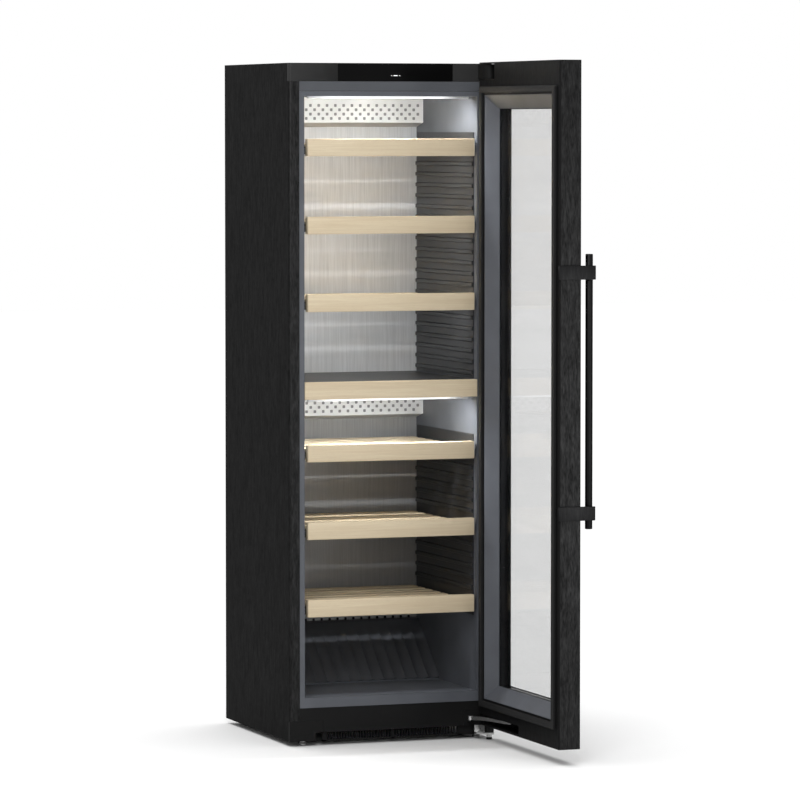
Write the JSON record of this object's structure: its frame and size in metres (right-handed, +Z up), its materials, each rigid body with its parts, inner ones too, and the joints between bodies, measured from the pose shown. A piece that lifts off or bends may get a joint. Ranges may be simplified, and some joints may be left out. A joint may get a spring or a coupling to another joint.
{
  "type": "wine cooler",
  "caption": "Tall freestanding wine cabinet with cooled zones, wood-fronted sliding shelves and a hinged glass door with a bar handle.",
  "frame": {"origin": "centre of the whole object's box at floor level, with the door standing open at 90 degrees", "axes": "+Z up, +Y from the front of the cabinet to its back, +X to the viewer's right when facing the front"},
  "size_m": [0.656, 1.203, 1.887],
  "materials": {
    "brushed_black_steel": "vertical-grained black steel",
    "brushed_steel": "vertical brushed stainless",
    "bright_steel": "bright zinc plated",
    "galvanised_steel": "dull galvanised",
    "black_plastic": "satin black moulding",
    "dark_plastic": "satin charcoal moulding",
    "grey_plastic": "satin blue-grey moulding",
    "pale_plastic": "pale perforated cover",
    "display_gloss": "gloss black touch panel",
    "foam": "rigid insulating foam",
    "wood": "pale beech, satin lacquer",
    "rubber": "soft black seal",
    "clear_glass": "clear, faintly tinted",
    "led": "milky light bar",
    "satin_steel": "satin dark steel",
    "black_enamel": "black enamel"
  },
  "bodies": {
    "cabinet": {"side_panel_left": "brushed_black_steel", "side_panel_right": "brushed_black_steel", "top_cover": "brushed_black_steel", "rear_panel": "galvanised_steel", "insulation_foam": "foam", "inner_liner": "grey_plastic", "top_rail": "grey_plastic", "control_housing": "dark_plastic", "control_display": "display_gloss", "plinth": "black_plastic", "foot_cover": "black_plastic", "base_pan": "black_enamel", "wall_rack_upper_left": "dark_plastic", "wall_rack_upper_right": "dark_plastic", "wall_rack_lower_left": "dark_plastic", "wall_rack_lower_right": "dark_plastic", "zone_divider": "dark_plastic", "divider_front": "wood", "air_cover_upper": "pale_plastic", "air_cover_lower": "pale_plastic", "led_strip_upper": "led", "led_strip_lower": "led", "back_plate_upper": "brushed_steel", "back_plate_lower": "brushed_steel", "compressor": "black_enamel", "drip_tray": "black_plastic", "condenser": "galvanised_steel", "power_inlet": "black_plastic", "top_hinge_bracket": "black_enamel", "hinge_cover": "black_plastic", "bottom_hinge_bracket": "bright_steel"},
    "door": {"door_frame": "brushed_black_steel", "door_inner_frame": "grey_plastic", "door_outer_glass": "clear_glass", "door_inner_glass": "clear_glass", "door_glass_spacer": "black_plastic", "door_gasket": "rubber"},
    "handle": {"handle_bar": "satin_steel", "handle_arm_lower": "satin_steel", "handle_arm_upper": "satin_steel"},
    "closing_arm": {"closing_arm": "bright_steel"},
    "foot_left": {"front_foot_left": "bright_steel"},
    "foot_right": {"front_foot_right": "bright_steel"},
    "roller_left": {"rear_roller_left": "black_plastic"},
    "roller_right": {"rear_roller_right": "black_plastic"},
    "fan_upper": {"evaporator_fan_upper": "black_plastic"},
    "fan_lower": {"evaporator_fan_lower": "black_plastic"},
    "fan_condenser": {"condenser_fan": "black_plastic"},
    "shelf_1": {"shelf_1_tray": "wood", "shelf_1_runners": "galvanised_steel"},
    "shelf_2": {"shelf_2_tray": "wood", "shelf_2_runners": "galvanised_steel"},
    "shelf_3": {"shelf_3_tray": "wood", "shelf_3_runners": "galvanised_steel"},
    "shelf_4": {"shelf_4_tray": "wood", "shelf_4_runners": "galvanised_steel"},
    "shelf_5": {"shelf_5_tray": "wood", "shelf_5_runners": "galvanised_steel"},
    "shelf_6": {"shelf_6_tray": "wood", "shelf_6_runners": "galvanised_steel"}
  },
  "joints": [
    {"name": "door_hinge", "type": "hinge", "parent": "cabinet", "child": "door", "pos_m": [0.249, -0.01525, 0.9], "axis": [0, 0, 1], "range_deg": [-90, 25]},
    {"name": "closing_arm_pivot", "type": "hinge", "parent": "cabinet", "child": "closing_arm", "pos_m": [0.201, 0.00575, 0.0597], "axis": [0, 0, 1], "range_deg": [-98, 28]},
    {"name": "handle_pull", "type": "slide", "parent": "door", "child": "handle", "axis": [1, 0, 0], "range_m": [0, 0.005], "stiffness_N_per_m": 2500, "springref_m": -0.004},
    {"name": "shelf_1_slide", "type": "slide", "parent": "cabinet", "child": "shelf_1", "axis": [0, -1, 0], "range_m": [0, 0.3]},
    {"name": "shelf_2_slide", "type": "slide", "parent": "cabinet", "child": "shelf_2", "axis": [0, -1, 0], "range_m": [0, 0.3]},
    {"name": "shelf_3_slide", "type": "slide", "parent": "cabinet", "child": "shelf_3", "axis": [0, -1, 0], "range_m": [0, 0.3]},
    {"name": "shelf_4_slide", "type": "slide", "parent": "cabinet", "child": "shelf_4", "axis": [0, -1, 0], "range_m": [0, 0.3]},
    {"name": "shelf_5_slide", "type": "slide", "parent": "cabinet", "child": "shelf_5", "axis": [0, -1, 0], "range_m": [0, 0.3]},
    {"name": "shelf_6_slide", "type": "slide", "parent": "cabinet", "child": "shelf_6", "axis": [0, -1, 0], "range_m": [0, 0.3]},
    {"name": "foot_left_screw", "type": "hinge", "parent": "cabinet", "child": "foot_left", "pos_m": [-0.2795, 0.04775, 0.004], "axis": [0, 0, 1], "range_deg": [-180, 180]},
    {"name": "foot_right_screw", "type": "hinge", "parent": "cabinet", "child": "foot_right", "pos_m": [0.2335, 0.04575, 0.004], "axis": [0, 0, 1], "range_deg": [-180, 180]},
    {"name": "roller_left_axle", "type": "hinge", "parent": "cabinet", "child": "roller_left", "pos_m": [-0.2795, 0.54775, 0.016], "axis": [1, 0, 0], "continuous": true},
    {"name": "roller_right_axle", "type": "hinge", "parent": "cabinet", "child": "roller_right", "pos_m": [0.2205, 0.54775, 0.016], "axis": [1, 0, 0], "continuous": true},
    {"name": "evaporator_fan_upper_spin", "type": "hinge", "parent": "cabinet", "child": "fan_upper", "pos_m": [-0.0295, 0.47925, 1.7567], "axis": [0, 1, 0], "continuous": true},
    {"name": "evaporator_fan_lower_spin", "type": "hinge", "parent": "cabinet", "child": "fan_lower", "pos_m": [-0.0295, 0.47925, 0.9222], "axis": [0, 1, 0], "continuous": true},
    {"name": "condenser_fan_spin", "type": "hinge", "parent": "cabinet", "child": "fan_condenser", "pos_m": [-0.1335, 0.51525, 0.1113], "axis": [1, 0, 0], "continuous": true}
  ],
  "couplings": [
    {"joint": "closing_arm_pivot", "follows": "door_hinge", "ratio": 1.084}
  ]
}
